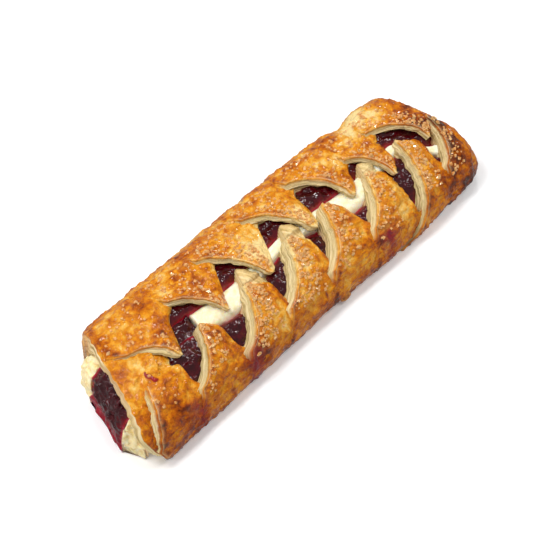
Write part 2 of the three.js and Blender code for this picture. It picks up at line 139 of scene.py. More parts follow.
# ---------------------------------------------------------------------------------------------
# The crust: puff pastry brushed with egg and baked. It goes from straw yellow where it was
# shaded, over golden orange, to brown on blisters and along raised edges, and it is glossy.
# Cut edges stay pale and matt, in thin leaves, and take a pink stain where the cherry is near.
# Lower down, a cut face is painted darker, as shade.
def colour(red, green, blue):
    """A colour as a screen shows it, 0 to 255, in the linear values that a shader takes."""
    screen = np.array([red, green, blue]) / 255
    linear = np.where(screen <= 0.04045, screen / 12.92, ((screen + 0.055) / 1.055) ** 2.4)
    return (*linear.tolist(), 1.0)


class Wire:
    """One output of a material's node. Arithmetic on it adds Math nodes."""

    def __init__(self, finish, socket):
        self.finish = finish
        self.socket = socket

    def math(self, operation, first, second):
        settings = {"operation": operation}
        return self.finish.node("ShaderNodeMath", settings, {0: first, 1: second})

    def __add__(self, other):
        return self.math("ADD", self, other)

    def __sub__(self, other):
        return self.math("SUBTRACT", self, other)

    def __rsub__(self, other):
        return self.math("SUBTRACT", other, self)

    def __mul__(self, other):
        return self.math("MULTIPLY", self, other)

    __radd__ = __add__
    __rmul__ = __mul__

    def size(self):
        """The number without its sign."""
        return self.math("ABSOLUTE", self, 0)

    def step(self, start, stop):
        """0 below start, 1 above stop, smooth between them."""
        settings = {"interpolation_type": "SMOOTHSTEP"}
        return self.finish.node("ShaderNodeMapRange", settings, {0: self, 1: start, 2: stop})


class Finish:
    """A material that is put together from nodes round one Principled shader."""

    def __init__(self, name, **constant):
        self.material = bpy.data.materials.new(name)
        self.material.use_nodes = True
        self.tree = self.material.node_tree
        self.shader = self.tree.nodes["Principled BSDF"]
        for key, value in constant.items():
            self.shader.inputs[key.replace("_", " ")].default_value = value
        self.place = self.node("ShaderNodeTexCoord", out="Object")

    def node(self, kind, settings=None, values=None, out=0):
        """A node of this kind: its settings first, then its sockets' values or links."""
        made = self.tree.nodes.new(kind)
        for key, value in (settings or {}).items():
            if key == "stops":
                ramp = made.color_ramp.elements
                for _ in value[2:]:
                    ramp.new(0.5)
                for element, (position, tint) in zip(ramp, value):
                    element.position = position
                    element.color = tint
            else:
                setattr(made, key, value)
        for key, value in (values or {}).items():
            if isinstance(value, Wire):
                self.tree.links.new(value.socket, made.inputs[key])
            else:
                made.inputs[key].default_value = value
        return Wire(self, made.outputs[out])

    def mark(self, name):
        """A number that the mesh carries for each of its points."""
        return self.node("ShaderNodeAttribute", {"attribute_name": name}, out="Fac")

    def noise(self, size, detail=3.0, rough=0.55, where=None, warp=0.0):
        """Noise of this size, 0 to 1 about 0.5: in millimetres, or in the units of `where`."""
        unit = MM if where is None else 1
        values = {"Vector": where or self.place, "Scale": 1 / (size * unit), "Detail": detail,
                  "Roughness": rough, "Distortion": warp}
        return self.node("ShaderNodeTexNoise", {"noise_dimensions": "3D"}, values)

    def blend(self, share, first, second):
        """A colour `share` of the way from first to second."""
        settings = {"data_type": "RGBA", "clamp_factor": True}
        return self.node("ShaderNodeMix", settings, {0: share, 6: first, 7: second}, out=2)

    def ramp(self, value, *stops):
        """A colour from a number: each stop is its place and its colour."""
        return self.node("ShaderNodeValToRGB", {"stops": stops}, {0: value})

    def feed(self, **wires):
        """Links wires to the shader's sockets of these names."""
        for key, wire in wires.items():
            self.tree.links.new(wire.socket, self.shader.inputs[key.replace("_", " ")])

    def bump(self, *heights):
        """Normals from heights in millimetres, each laid over the last."""
        normal = None
        for height in heights:
            values = {"Height": height, "Distance": MM}
            if normal:
                values["Normal"] = normal
            normal = self.node("ShaderNodeBump", {}, values)
        self.feed(Normal=normal)


crust = Finish("baked_crust", IOR=1.14, Coat_Roughness=0.05, Coat_IOR=1.48, Subsurface_Weight=0.04,
               Subsurface_Radius=(0.003, 0.0015, 0.0006), Subsurface_Scale=1.0)
bake, cut, deep = crust.mark("bake"), crust.mark("cut"), crust.mark("deep")
along_cut, stain, syrup = crust.mark("along"), crust.mark("stain"), crust.mark("syrup")
broad = crust.noise(14, detail=2)
patch = crust.noise(4.8, detail=3, rough=0.55, warp=0.7)
fold = crust.noise(2.6, detail=3, rough=0.6, warp=1.4)
speck = crust.noise(1.1, detail=3, rough=0.6)
vein = (fold - 0.5).size().step(0.07, 0.0)
browning = (bake + (broad - 0.5) + (patch - 0.5) * 0.95 + (speck - 0.5) * 0.22
            + (vein - 0.3) * 0.06)
crust_tint = crust.ramp(
    browning,
    (0.0, colour(240, 210, 142)), (0.17, colour(234, 180, 82)), (0.34, colour(224, 148, 30)),
    (0.50, colour(206, 118, 6)), (0.68, colour(172, 82, 0)), (0.85, colour(122, 48, 0)),
    (1.0, colour(80, 30, 0)))
leaf_place = crust.node("ShaderNodeCombineXYZ", {}, {0: along_cut * 0.045, 1: deep * 1.7, 2: bake})
leaf = crust.noise(1.0, detail=3, rough=0.6, where=leaf_place, warp=0.3)
# The cut faces' colour darkens with the depth mark: painted shade, deeper down a face and, on the
# tucks, close under the band over them.
cut_tint = crust.ramp(
    leaf - deep * 0.014, (0.26, colour(148, 130, 84)), (0.36, colour(190, 168, 114)),
    (0.48, colour(220, 198, 146)), (0.66, colour(238, 224, 182)))
tint = crust.blend(cut, crust_tint, cut_tint)
bled = stain * (0.5 + 0.9 * patch)
tint = crust.blend(bled, tint, colour(142, 26, 38))
crust.feed(Base_Color=crust.blend(syrup, tint, colour(150, 8, 12)))
glaze = (1 - cut) * (0.35 + (patch - 0.42).step(0, 0.16) * 0.65)
crust.feed(Roughness=0.42 + 0.3 * cut + (speck - 0.5) * 0.3 - 0.3 * syrup,
           Coat_Weight=glaze + syrup)
crust.bump((patch * 0.7 + fold * 1.3 + speck * 0.45) * (1 - 0.7 * cut), (leaf * 0.45) * cut)


# ---------------------------------------------------------------------------------------------
# The base sheet with its side walls, a trough of dough that the filling lies in. The strips
# fold up from its walls, so that little of it shows: its foot, and the wall of the closed end.
BASE_THICKNESS = 4.0
WALL_THICKNESS = 6.0
ROOF_THICKNESS = 7.0
LIP_THICKNESS = 3.2
LIP_LENGTH = 14.0
HOLLOW_END = 123.0
EVEN_BAKE = 0.41


def lattice_noise(points, size, seed):
    """Value noise, -1 to 1: random numbers at the corners of `size` cells, smoothly blended."""
    cell = points / size + seed * 7.31
    low = np.floor(cell)
    part = cell - low
    part = part * part * (3 - 2 * part)
    total = 0.0
    for corner in np.ndindex(2, 2, 2):
        dots = (low + corner) @ np.array([127.1, 311.7, 74.7])
        random = np.sin(dots + seed) * 43758.5453
        weight = np.prod(np.where(corner, part, 1 - part), axis=-1)
        total = total + weight * (random - np.floor(random))
    return 2 * total - 1


def skin_mesh(name, grid, node, material, marks):
    """A closed piece: quads between neighbouring rings of `grid`, each ring closed on itself,
    and a fan of triangles from each end ring to its own middle. `marks` are named numbers,
    one for every point of the grid, that the material reads."""
    rings, around = grid.shape[:2]
    points = np.concatenate([grid.reshape(-1, 3), grid[[0, -1]].mean(axis=1)])
    index = np.arange(rings * around).reshape(rings, around)
    beside = np.roll(index, -1, axis=1)
    quads = np.stack([index[:-1], beside[:-1], beside[1:], index[1:]], axis=-1).reshape(-1, 4)
    hubs = rings * around + np.arange(2)
    front = np.stack([beside[0], index[0], np.full(around, hubs[0])], axis=-1)
    back = np.stack([index[-1], beside[-1], np.full(around, hubs[1])], axis=-1)
    volume = np.einsum("ij,ij->", grid[:-1].reshape(-1, 3),
                       np.cross(np.roll(grid, -1, 1)[:-1].reshape(-1, 3), grid[1:].reshape(-1, 3)))
    faces = quads.tolist() + front.tolist() + back.tolist()
    mesh = bpy.data.meshes.new(name)
    mesh.from_pydata(((points + SHIFT) * MM).tolist(), [], faces)
    if volume < 0:
        mesh.flip_normals()
    mesh.polygons.foreach_set("use_smooth", np.full(len(faces), True))
    for key, values in marks.items():
        values = np.broadcast_to(values, (rings, around))
        ends = values[[0, -1]].mean(axis=1)
        layer = mesh.attributes.new(key, "FLOAT", "POINT")
        layer.data.foreach_set("value", np.concatenate([values.ravel(), ends]).astype(np.float32))
    piece = bpy.data.objects.new(name, mesh)
    bpy.context.collection.objects.link(piece)
    mesh.materials.append(material)
    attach(piece, "root")
    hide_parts(node)


def dough_mesh(name, grid, bake, cut=0, deep=0, along=0, stain=0, syrup=0):
    """A piece of dough: how much it browned, how far it is a cut face, how deep a point lies in
    that face and how far along it, and how much of cherry juice and of syrup is on it. The crust
    paints a cut face darker with depth, as shade."""
    skin_mesh(name, grid, "pastry", crust.material,
              {"bake": bake, "cut": cut, "deep": deep, "along": along, "stain": stain,
               "syrup": syrup})


def hollow(along):
    """Half width and height of the space inside the dough, over the base."""
    lip = 1 - ease(-HALF_LENGTH, LIP_LENGTH - HALF_LENGTH, along)
    rounding = end_rounding(along, HOLLOW_END, 12, 4)
    wall = mix(WALL_THICKNESS, LIP_THICKNESS, lip) + 0.8 * waist(along)
    roof = mix(ROOF_THICKNESS, LIP_THICKNESS + 0.6, lip) + BASE_THICKNESS
    width, height = box_size(along)
    return (width - wall) * rounding, (height - roof) * rounding


def crust_relief(points, seed):
    """Puffs, wrinkles and pits of the crust in millimetres: noise of four sizes, of which the
    second is folded about zero into sharp creases."""
    puff = 0.6 * lattice_noise(points, 9.0, seed)
    wrinkle = 0.55 - 1.5 * np.abs(lattice_noise(points, 5.0, seed + 1))
    blister = 0.5 * lattice_noise(points, 2.3, seed + 2)
    return puff + wrinkle + blister + 0.28 * lattice_noise(points, 1.2, seed + 3)


def wall_tone(points):
    """Even, but darker towards the foot and on the right wall, and browner at the closed end and
    near the open end on the right."""
    low = ease(20, 4, points[..., 2])
    right = ease(28, 44, -points[..., 1])
    far = ease(92, 120, points[..., 0])
    near = ease(-88, -112, points[..., 0]) * ease(5, 30, -points[..., 1])
    return EVEN_BAKE + 0.12 * low + 0.05 * right + 0.2 * far + 0.13 * near


# The trough stops short of both ends of the loaf, inside the lip and the end wall
trough_along = np.linspace(-HALF_LENGTH + 1, HALF_LENGTH - 4.5, 200)[:, None]
outer_angle = np.concatenate([np.linspace(-45, -90, 40), np.linspace(90, 62, 26)])[None, :]
outer_x = np.maximum(on_form(trough_along, outer_angle), rim(outer_angle) + 1)
outer_radius = section_radius(trough_along, outer_angle) - 1.2
outer = polar(outer_x, outer_angle, outer_radius)
outer = outer + (crust_relief(outer, 3) * 0.6 * (outer[..., 2] > 0.5))[..., None] * [0, 1, 0]
half_width, hollow_height = hollow(np.clip(trough_along, -HALF_LENGTH, HOLLOW_END - 0.5))
share = np.linspace(0.97, -0.97, 40)[None, :]
inner_right = half_width * share
inner_up = BASE_THICKNESS + hollow_height * 0.55 * np.abs(share) ** 9
inner = np.stack([slanted(trough_along, inner_right), -inner_right, inner_up], axis=-1)
trough = np.concatenate([outer, inner], axis=1)
dough_mesh("base_sheet", trough, wall_tone(trough))

END_START = 119.0
END_STOP = HALF_LENGTH + 1.0
end_along = END_START + (END_STOP - END_START) * np.sin(np.linspace(0, np.pi / 2, 90))[:, None]
end_angle = np.linspace(-90, 90, 150)[None, :]
end_radius = section_radius(end_along, end_angle) - 1.4
end_wall = polar(on_form(end_along, end_angle), end_angle, end_radius)
end_wall = end_wall + (crust_relief(end_wall, 5) - 0.9)[..., None] * np.array([1.0, 0, 0])
dough_mesh("end_wall", end_wall, wall_tone(end_wall))


# ---------------------------------------------------------------------------------------------
# The strips: each side of the dough sheet is slit into bands, and these are folded over the
# filling from the left and the right in turn, from the open end on. A band's near edge shows
# as a cut face in leaves, its far edge goes under the next band, and below the slit it is wall.
#
# A band's tip is at the place `at` and `tip` degrees right of the ridge. From it the near edge
# runs down towards the open end, by `lean` a degree and by `hook` in a quarter ellipse to the
# slit's end, `root` degrees from the tip. The far edge starts `blunt` behind the tip and goes
# back by `reach` in the first degrees and by `flare` a degree. The cut face's foot stands out
# by `splay` and its lower leaves by `ledge`, the crease below the slit runs on by `run`, the
# part near the tip is sunk by `sink`, and where it is `faded` it stayed pale.
LEFT_STRIPS = [
    dict(at=-93.5, tip=23, lean=0.05, hook=27, root=30.5, blunt=2.6, reach=0, flare=0.25,
         splay=7, run=0.8, ledge=2),
    dict(at=-54.6, tip=20, lean=0.15, hook=21, root=39.5, blunt=2, reach=0, flare=0.3, splay=3),
    dict(at=-20.7, tip=20.5, lean=0.17, hook=21, root=53, blunt=4.8, reach=1, flare=0.26, splay=3),
    dict(at=18, tip=16, lean=0.15, hook=24.5, root=50.5, blunt=4.5, reach=2.7, flare=0.05,
         splay=3.5),
    dict(at=50.9, tip=16, lean=0, hook=30, root=49, blunt=2.6, reach=5.5, flare=0.12, splay=5),
    dict(at=80.5, tip=25, lean=0, hook=20.5, root=41.5, blunt=2.5, reach=5.4, flare=0.07, splay=4),
    dict(at=114.5, tip=19.5, lean=0, hook=34, root=44, blunt=0.5, reach=9, flare=0.3, splay=4),
]
RIGHT_STRIPS = [
    dict(at=-110.5, tip=-6, lean=0.3, hook=8, root=93, blunt=10, reach=7, flare=-0.08, splay=9,
         sink=3.4),
    dict(at=-74.2, tip=12.5, lean=0.19, hook=20, root=39, blunt=4.2, reach=6.5, flare=0, splay=4),
    dict(at=-37.2, tip=11, lean=0.15, hook=21.5, root=43.5, blunt=2, reach=11.5, flare=0,
         splay=9, faded=1),
    dict(at=1.6, tip=4, lean=0.21, hook=22, root=46.5, blunt=3.4, reach=7.4, flare=0,
         splay=10, faded=1),
    dict(at=32, tip=2, lean=0.12, hook=22, root=48.5, blunt=4.5, reach=3.6, flare=0.15, splay=10),
    dict(at=66.5, tip=4, lean=0.14, hook=19.5, root=42.5, blunt=4.3, reach=7.8, flare=0,
         splay=8, faded=0.7),
    dict(at=97, tip=0, lean=0.02, hook=49, root=94.5, blunt=0.5, reach=14, flare=-0.1, splay=7),
    dict(at=123, tip=0.5, lean=0.02, hook=16, root=46.5, blunt=4, reach=3, flare=0, splay=6),
]
# `shut` is how far below its tip a band's far edge goes under the next one's crease
for side, strips in ((-1, LEFT_STRIPS), (1, RIGHT_STRIPS)):
    for strip, behind in zip(strips, strips[1:] + strips[-1:]):
        strip["shut"] = behind["root"] + side * (behind["tip"] - strip["tip"])
TIP_REACH_ANGLE = 17
TIP_ROUNDING = 5  # degrees over which a tip rounds off
HOOK_SHARE = 0.97  # a hook stops just short of where its ellipse would stand upright
CREST, DIP = 2.6, 2.3  # a band's near edge lies this far over the form, its far edge under it
CREASE = 0.9  # both of these below the slit
CREASE_RUN = 0.15  # the crease below a slit runs on towards the open end, per degree
STRIP_DEPTH = 14.0
UNDERCUT = 4.0  # a left band's face stands back by this below its visible leaves
LEAF_DEPTH = 1.15  # one leaf of a cut face is this thick
LAST_COVERED = 112  # bands behind this place have no next band over their backs
FACE_COLUMNS, CRUST_COLUMNS = 56, 84
ACROSS = np.linspace(0, 1, CRUST_COLUMNS) ** 1.2  # from a crust's near to its far edge

# Spots as place along, place right of the centre, size and strength: dough that stayed pale,
# dough that browned more, cherry juice that ran out, and drops of syrup
PALE_SPOTS = [(-13, 0, 12, 0.5), (-8, 13, 9, 0.3), (-22, -20, 16, 0.14), (20, 0, 10, 0.45),
              (94, -31, 11, 0.5), (84, -25, 9, 0.3), (-55, -50, 8, 0.3), (110, -34, 9, 0.25)]
BROWN_SPOTS = [(127, 9, 6, 0.4), (-123, -31, 9, 0.2), (120, 38, 12, 0.15), (-58, 42, 10, 0.2),
               (120, 0, 14, 0.1)]
STAIN_SPOTS = [(52, 40, 5.0, 1.1), (-60, 42, 6, 0.8), (-103, 42, 5, 0.85), (33, 19, 3.5, 0.5),
               (-116, 45, 6, 0.2)]
SYRUP_DROPS = [(-115.5, 9.5, 1.9, 1), (-114.6, 12.5, 2.0, 1), (-113.6, 16.5, 2.1, 1)]


def spots(points, places):
    """The sum of a bell curve round each place, as wide and as strong as it says."""
    total = 0.0
    for x, right, size, amount in places:
        distance = (points[..., 0] - x) ** 2 + (points[..., 1] + right) ** 2
        total = total + amount * np.exp(-distance / size**2)
    return total


def near_offset(strip, q):
    """How far the near edge lies in front of the tip, q degrees from it."""
    part = np.minimum(q, strip["root"] * HOOK_SHARE) / strip["root"]
    past = np.maximum(0, q - strip["root"] * HOOK_SHARE)
    open_edge = strip["lean"] * q + strip["hook"] * (1 - np.sqrt(1 - np.clip(part, 0, 1) ** 2))
    return open_edge + strip.get("run", CREASE_RUN) * past


def far_offset(strip, q):
    """How far the far edge lies behind the tip. Past the slit it runs under the next strip."""
    under = np.minimum(20, 0.04 * np.maximum(0, q - strip["shut"] + 12) ** 2)
    turn = np.clip(q / TIP_REACH_ANGLE, 0, 1) * np.pi / 2
    return strip["blunt"] + strip["reach"] * np.sin(turn) + strip["flare"] * q + under


def crust_rise(strip, q, part):
    """The crust's height over the form, `part` of the way from the near to the far edge."""
    is_open = 1 - ease(strip["root"] - 4, strip["root"] + 14, q)
    crest = mix(CREASE, CREST, is_open) * (0.55 + 0.45 * ease(0, 14, q))
    dip = mix(CREASE, DIP, is_open)
    sunk = strip.get("sink", 0) * ease(38, 27, q)
    return crest * (1 - part) ** 1.3 - dip * part**1.8 + 0.9 * np.sin(np.pi * part) - sunk


def strip_piece(name, strip, side, seed):
    """A closed band. Its ring goes up the cut face, over the crust and back underneath. The
    face splays by `splay` to its foot and is waved by its leaves; the crust is the form plus
    crust_rise and relief, rounded over at both edges."""
    last = 89.5 - side * strip["tip"]
    q = np.concatenate([np.linspace(0.1, 1, 6), np.linspace(1.4, last, int(last * 1.5))])[:, None]
    angle = strip["tip"] + side * q
    start, stop = rim(angle) + 1.5, on_form(HALF_LENGTH - 1, angle)
    line = np.concatenate([np.cos(q / 9 + seed), np.sin(q / 9 + seed), q / 9], axis=1) * 9
    wobble = 0.5 * lattice_noise(line, 5, seed) + 0.2 * lattice_noise(line, 2, seed + 9)
    narrowed = 1 - np.sqrt(1 - (1 - np.minimum(1, q / TIP_ROUNDING)) ** 2)
    inset = narrowed * far_offset(strip, q) / 2
    near = np.clip(strip["at"] - near_offset(strip, q) + inset + wobble[:, None], start, stop - 4)
    far = np.clip(strip["at"] + far_offset(strip, q) - inset, start + 4, stop)
    is_open = 1 - ease(strip["root"] - 2, strip["root"] + 10, q)

    down = np.linspace(1, 0, FACE_COLUMNS)[None, :] ** 1.15
    level = down * STRIP_DEPTH
    bend_at = np.stack(np.broadcast_arrays(q / 8, level / 3, 0.0), axis=-1)
    leaf_at = level / LEAF_DEPTH + 0.35 * lattice_noise(bend_at, 1.0, seed + 4)
    leaf_wave = np.abs(np.sin(np.pi * leaf_at)) ** 0.6
    ragged_at = np.stack(np.broadcast_arrays(q * 0.22, np.floor(leaf_at), 1.0), axis=-1)
    groove = 0.45 * (1 - leaf_wave) + 0.7 * lattice_noise(ragged_at, 1.0, seed + 5)
    face_radius = form_radius(near, angle) + crust_rise(strip, q, 0) - 0.7 - level
    arch = np.sin(np.pi * np.minimum(1, q / strip["root"]))
    ledge = strip.get("ledge", 0) * arch * ease(2.2, 2.9, level)
    undercut = UNDERCUT * ease(4.2, 5.2, level) * is_open if side < 0 else 0
    face_x = near - strip["splay"] * down**0.7 + groove * np.minimum(1, down * 8) + undercut - ledge
    face = polar(np.maximum(face_x, start - 1.0), angle, face_radius)

    part = ACROSS[None, :]
    x = mix(near, far, part)
    width = far - near
    edge = 0.9 * np.exp(-part * width / 0.7) + 1.0 * np.exp(-(1 - part) * width / 1.2)
    radius = form_radius(x, angle) + crust_rise(strip, q, part) - edge
    top = polar(x, angle, radius)
    relief = crust_relief(top, seed)
    top_drop = spots(top, SYRUP_DROPS)
    relief = relief + 0.9 * ease(0.3, 0.9, top_drop)
    top = polar(x, angle, radius + (relief - 0.85) * np.minimum(1, part * width / 1.5))

    back_down = np.linspace(0.15, 1, 6)[None, :]
    back = polar(far, angle, mix(radius[:, -1:], form_radius(far, angle) - STRIP_DEPTH, back_down))
    under_x = mix(far, near, np.linspace(0.2, 0.9, 8)[None, :])
    under = polar(under_x, angle, form_radius(under_x, angle) - STRIP_DEPTH)
    ring = np.concatenate([face, top, back, under], axis=1)

    on_face = slice(0, FACE_COLUMNS)
    on_crust = slice(FACE_COLUMNS, FACE_COLUMNS + CRUST_COLUMNS)
    behind_crust = slice(FACE_COLUMNS + CRUST_COLUMNS, None)
    drop, depth_and_shade, cut_mark, edge_brown = np.zeros((4, *ring.shape[:2]))
    drop[:, on_crust] = top_drop
    depth_and_shade[:, on_face] = level
    faded = strip.get("faded", 0)
    cut_mark[:, on_face] = ease(0.1, 2.0, level) * is_open
    cut_mark[:, on_crust] = 0.55 * np.exp(-part * width / 0.9) * is_open
    cut_mark[:, on_crust] += 0.7 * faded * (1 - ease(1, 11, q))
    cut_mark[:, behind_crust] = is_open * (strip["at"] < LAST_COVERED)
    edge_brown[:, on_crust] = 0.16 * np.exp(-((part * width - 2.2) / 2.0) ** 2) + 0.16 * relief
    tip_pale = 0.4 * (1 - ease(0, 8, q)) + 0.3 * faded * (1 - ease(2, 16, q))
    bake_mark = wall_tone(ring) + edge_brown - tip_pale
    bake_mark = bake_mark - spots(ring, PALE_SPOTS) + spots(ring, BROWN_SPOTS)
    cherry_near = np.exp(-((np.abs(-ring[..., 1] - 1) - 16) / 9) ** 2)
    stain_mark = cut_mark * ease(5, 11, depth_and_shade) * cherry_near * 0.7 + spots(ring, STAIN_SPOTS)
    dough_mesh(name, ring, bake_mark, cut_mark, depth_and_shade, q * 0.75 + seed, stain_mark,
               ease(0.45, 0.6, drop))
    return top


TUCK_LEAN, TUCK_FALL, TUCK_TAPER = 0.28, 0.12, 0.3
TUCK_DEPTH = 12.0
TUCK_LEAVES = 6


def tuck_piece(name, strip, tuck_over, low_angle, high_angle, width, seed):
    """The pale cut end of a right band, which runs on down under the left band `tuck_over`: a
    closed slab under the form, deeper towards its end, in leaves that follow that band's edge."""
    angle = np.linspace(low_angle, high_angle, 60)[:, None]
    near = strip["at"] - 0.6 + TUCK_LEAN * np.maximum(0, strip["tip"] - angle)
    part = np.linspace(0, 1, 50)[None, :]
    narrowed = 1 - TUCK_TAPER * (angle - low_angle) / (high_angle - low_angle)
    x = near + width * narrowed * part
    beyond = np.maximum(0, strip["tip"] - angle)
    fall = (0.5 + 2.6 * ease(0, 4, angle - strip["tip"]) + TUCK_FALL * beyond**1.3
            + np.exp(-part * width))
    over = tuck_over["at"] - near_offset(tuck_over, tuck_over["tip"] - angle)
    fall = fall + 0.2 * part * width + 3.5 * ease(over - 4.5, over - 0.5, x)
    radius = form_radius(x, angle) + crust_rise(strip, 14, 0) - fall
    relief = crust_relief(polar(x, angle, radius), seed)
    top = polar(x, angle, radius + relief * np.minimum(1, part * width / 2.5))
    down = np.linspace(1, 0, 24)[None, :]
    leaf_wave = 0.4 * np.abs(np.sin(np.pi * down * TUCK_LEAVES))
    face = polar(near - 4 * down - leaf_wave, angle, radius[:, :1] - 0.5 - 10 * down)
    under_x = mix(near + width * narrowed, near, np.linspace(0, 0.9, 8)[None, :])
    under = polar(under_x, angle, form_radius(under_x, angle) - TUCK_DEPTH)
    ring = np.concatenate([face, top, under], axis=1)
    # The tuck's depth mark rises close under the left band's edge, so the crust paints it darker
    # there: painted shadow under that band.
    shade = np.maximum(2, 7 + 0.22 * (x - over)) + 9 * ease(-7, -1, x - over)
    depth_and_shade = np.concatenate([10 * down + 0 * angle, shade, 9 + 0 * under_x], axis=1)
    dough_mesh(name, ring, bake=0.1, cut=0.8, deep=depth_and_shade, along=angle * 0.75)


crust_tops = []
for number, strip in enumerate(LEFT_STRIPS, start=1):
    crust_tops.append(strip_piece(f"strip_left_{number}", strip, -1, 20 + number))
for number, strip in enumerate(RIGHT_STRIPS, start=1):
    crust_tops.append(strip_piece(f"strip_right_{number}", strip, 1, 40 + number))

tuck_piece("tuck_right_3", RIGHT_STRIPS[2], LEFT_STRIPS[2], -7, 24, 24, 63)
tuck_piece("tuck_right_4", RIGHT_STRIPS[3], LEFT_STRIPS[3], -9, 16, 14, 64)
tuck_piece("tuck_right_6", RIGHT_STRIPS[5], LEFT_STRIPS[5], -8, 12, 12, 65)


# ---------------------------------------------------------------------------------------------
# The lip: the first band of dough round the open end. It is rolled thin, and its pale front
# edge, in two or three leaves, arches over the filling that oozes out.
LIP_DEPTH = 12.0
LIP_FACE_COLUMNS, LIP_CRUST_COLUMNS, LIP_UNDER_COLUMNS = 30, 60, 12
lip_angle = np.linspace(-89.5, 84, 220)[:, None]
lip_front = rim(lip_angle) + 0.9 * np.sin(lip_angle * 0.09)
lip_width = mix(26, 12, ease(10, 70, lip_angle))
lip_down = np.linspace(1, 0, LIP_FACE_COLUMNS)[None, :]
lip_line = np.concatenate([lip_angle / 4, 0 * lip_angle, 0 * lip_angle], axis=1)
lip_front = lip_front + 0.7 * lattice_noise(lip_line, 1.0, 71)[:, None]
lip_corner = ease(-30, -62, lip_angle)  # the left corner is folded thick
lip_leaf = 0.35 * np.abs(np.sin(np.pi * lip_down * mix(3, 8, lip_corner)))
lip_lean = mix(2.2, 8.5, lip_corner) * lip_down
lip_depth = 1.4 + mix(2.8, 12.5, lip_corner) * lip_down
lip_face_radius = form_radius(lip_front, lip_angle) - lip_depth
lip_face = polar(lip_front - lip_leaf - lip_lean, lip_angle, lip_face_radius)
lip_part = np.linspace(0, 1, LIP_CRUST_COLUMNS)[None, :] ** 1.15
lip_x = lip_front + lip_width * lip_part
lip_edge = 0.9 * np.exp(-lip_part * lip_width / 0.8)
lip_radius = form_radius(lip_x, lip_angle) - 0.6 - 1.3 * lip_part - lip_edge
lip_top = polar(lip_x, lip_angle, lip_radius)
lip_relief = crust_relief(lip_top, 61) * np.minimum(1, lip_part * lip_width / 1.5)
lip_top = polar(lip_x, lip_angle, lip_radius + lip_relief)
lip_under_x = lip_front + mix(lip_width, 0.6, np.linspace(0, 1, LIP_UNDER_COLUMNS)[None, :])
lip_under = polar(lip_under_x, lip_angle, form_radius(lip_under_x, lip_angle) - LIP_DEPTH)
lip = np.concatenate([lip_face, lip_top, lip_under], axis=1)
lip_is_cut = np.concatenate([np.ones(LIP_FACE_COLUMNS), np.zeros(LIP_CRUST_COLUMNS),
                             np.ones(LIP_UNDER_COLUMNS)])
lip_cut = lip_is_cut * (1 - 0.6 * lip_corner)
lip_deep = np.zeros(lip.shape[:2])
lip_deep[:, :LIP_FACE_COLUMNS] = lip_depth
lip_stain = lip_cut * 0.35 * np.exp(-((lip_angle - 5) / 35) ** 2)
dough_mesh("lip", lip, wall_tone(lip) + spots(lip, BROWN_SPOTS), lip_cut, lip_deep,
           lip_angle * 0.75, lip_stain)


# ---------------------------------------------------------------------------------------------
# A bead of syrup that ran down the right wall and set as glossy caramel where it met the
# surface: a lumpy ellipsoid with a flat foot.
caramel = Finish("caramel", IOR=1.4, Roughness=0.22, Coat_Weight=0.6, Coat_Roughness=0.05)
caramel_cloud = caramel.noise(2.0, detail=3)
caramel.feed(Base_Color=caramel.ramp(
    caramel_cloud, (0.3, colour(120, 58, 4)), (0.5, colour(176, 104, 18)),
    (0.7, colour(214, 150, 60))))
BEAD_PLACE = np.array([13, -41.1, 4.3])
BEAD_LONG, BEAD_WIDE, BEAD_HIGH = 4.0, 3.0, 3.4
BEAD_FOOT = 0.2
bead_polar = np.linspace(0.04, np.pi - 0.04, 48)[:, None]
bead_turn = np.linspace(0, 2 * np.pi, 64, endpoint=False)[None, :]
bead = np.stack([BEAD_LONG * np.cos(bead_polar) + 0 * bead_turn,
                 BEAD_WIDE * np.sin(bead_polar) * np.sin(bead_turn),
                 BEAD_HIGH * np.sin(bead_polar) * np.cos(bead_turn)], axis=-1)
lumpy = 1 + 0.16 * lattice_noise(bead, 2.6, 77) + 0.06 * lattice_noise(bead, 1.1, 78)
bead = bead * lumpy[..., None] + BEAD_PLACE
bead[..., 2] = np.maximum(bead[..., 2], BEAD_FOOT)
skin_mesh("syrup_bead", bead, "pastry", caramel.material, {})


# ---------------------------------------------------------------------------------------------
# The cherry gel: two ropes of thick glossy gel with crushed fruit under the braid, which run
# into one at the open end and ooze out of it as a lumpy blob down to the surface.
gel = Finish("cherry_gel", IOR=1.06, Coat_Weight=1.0, Coat_Roughness=0.03, Coat_IOR=1.5)
# The gel is redder where this mark is high: where it is thin at a rope's edge, and on the ooze low
# down and far out, which is painted light; the ooze stays darkest high up under the lip, as painted
# shade.
thin = gel.mark("thin")
clot = gel.noise(4.0, detail=2)
grain = gel.noise(1.3, detail=3, rough=0.6)
gel_tint = gel.ramp(
    thin + (clot - 0.5) * 0.7, (0.0, colour(52, 0, 7)), (0.35, colour(100, 3, 18)),
    (0.66, colour(156, 12, 36)), (1.0, colour(196, 84, 104)))
gel.feed(Base_Color=gel_tint, Roughness=0.3 + 0.3 * grain)
gel.bump(clot + grain * 0.6)

ROPE_END = 121.5
BRAID_START, MIDDLE_START, MOUTH_END = -118, -71, -72
WALL_SHARE = 0.985
MOUTH_ROOM, LEFT_MOUTH_ROOM = 0.85, 0.78  # what the thick folds at the open end's corners leave
OOZE = 12.6
OOZE_FLOOR = 0.3  # the ooze ends this far over the surface
OOZE_CORE = np.array([-HALF_LENGTH + 4, 0, 6.0])  # its lumps stand out away from this point
ROPE_STEP = 0.7
TOP_COLUMNS, SIDE_COLUMNS = 64, 6


def dome(share):
    """Height of the rounded box at a share of its half width, as a share of its height."""
    return (1 - np.minimum(1, np.abs(share)) ** ROUNDNESS) ** (1 / ROUNDNESS)


def drawn_in(mouth, inside):
    """An edge at one share in the open end and at another further in."""
    return lambda along: mix(mouth, inside, ease(-HALF_LENGTH + 3, -HALF_LENGTH + 17, along))


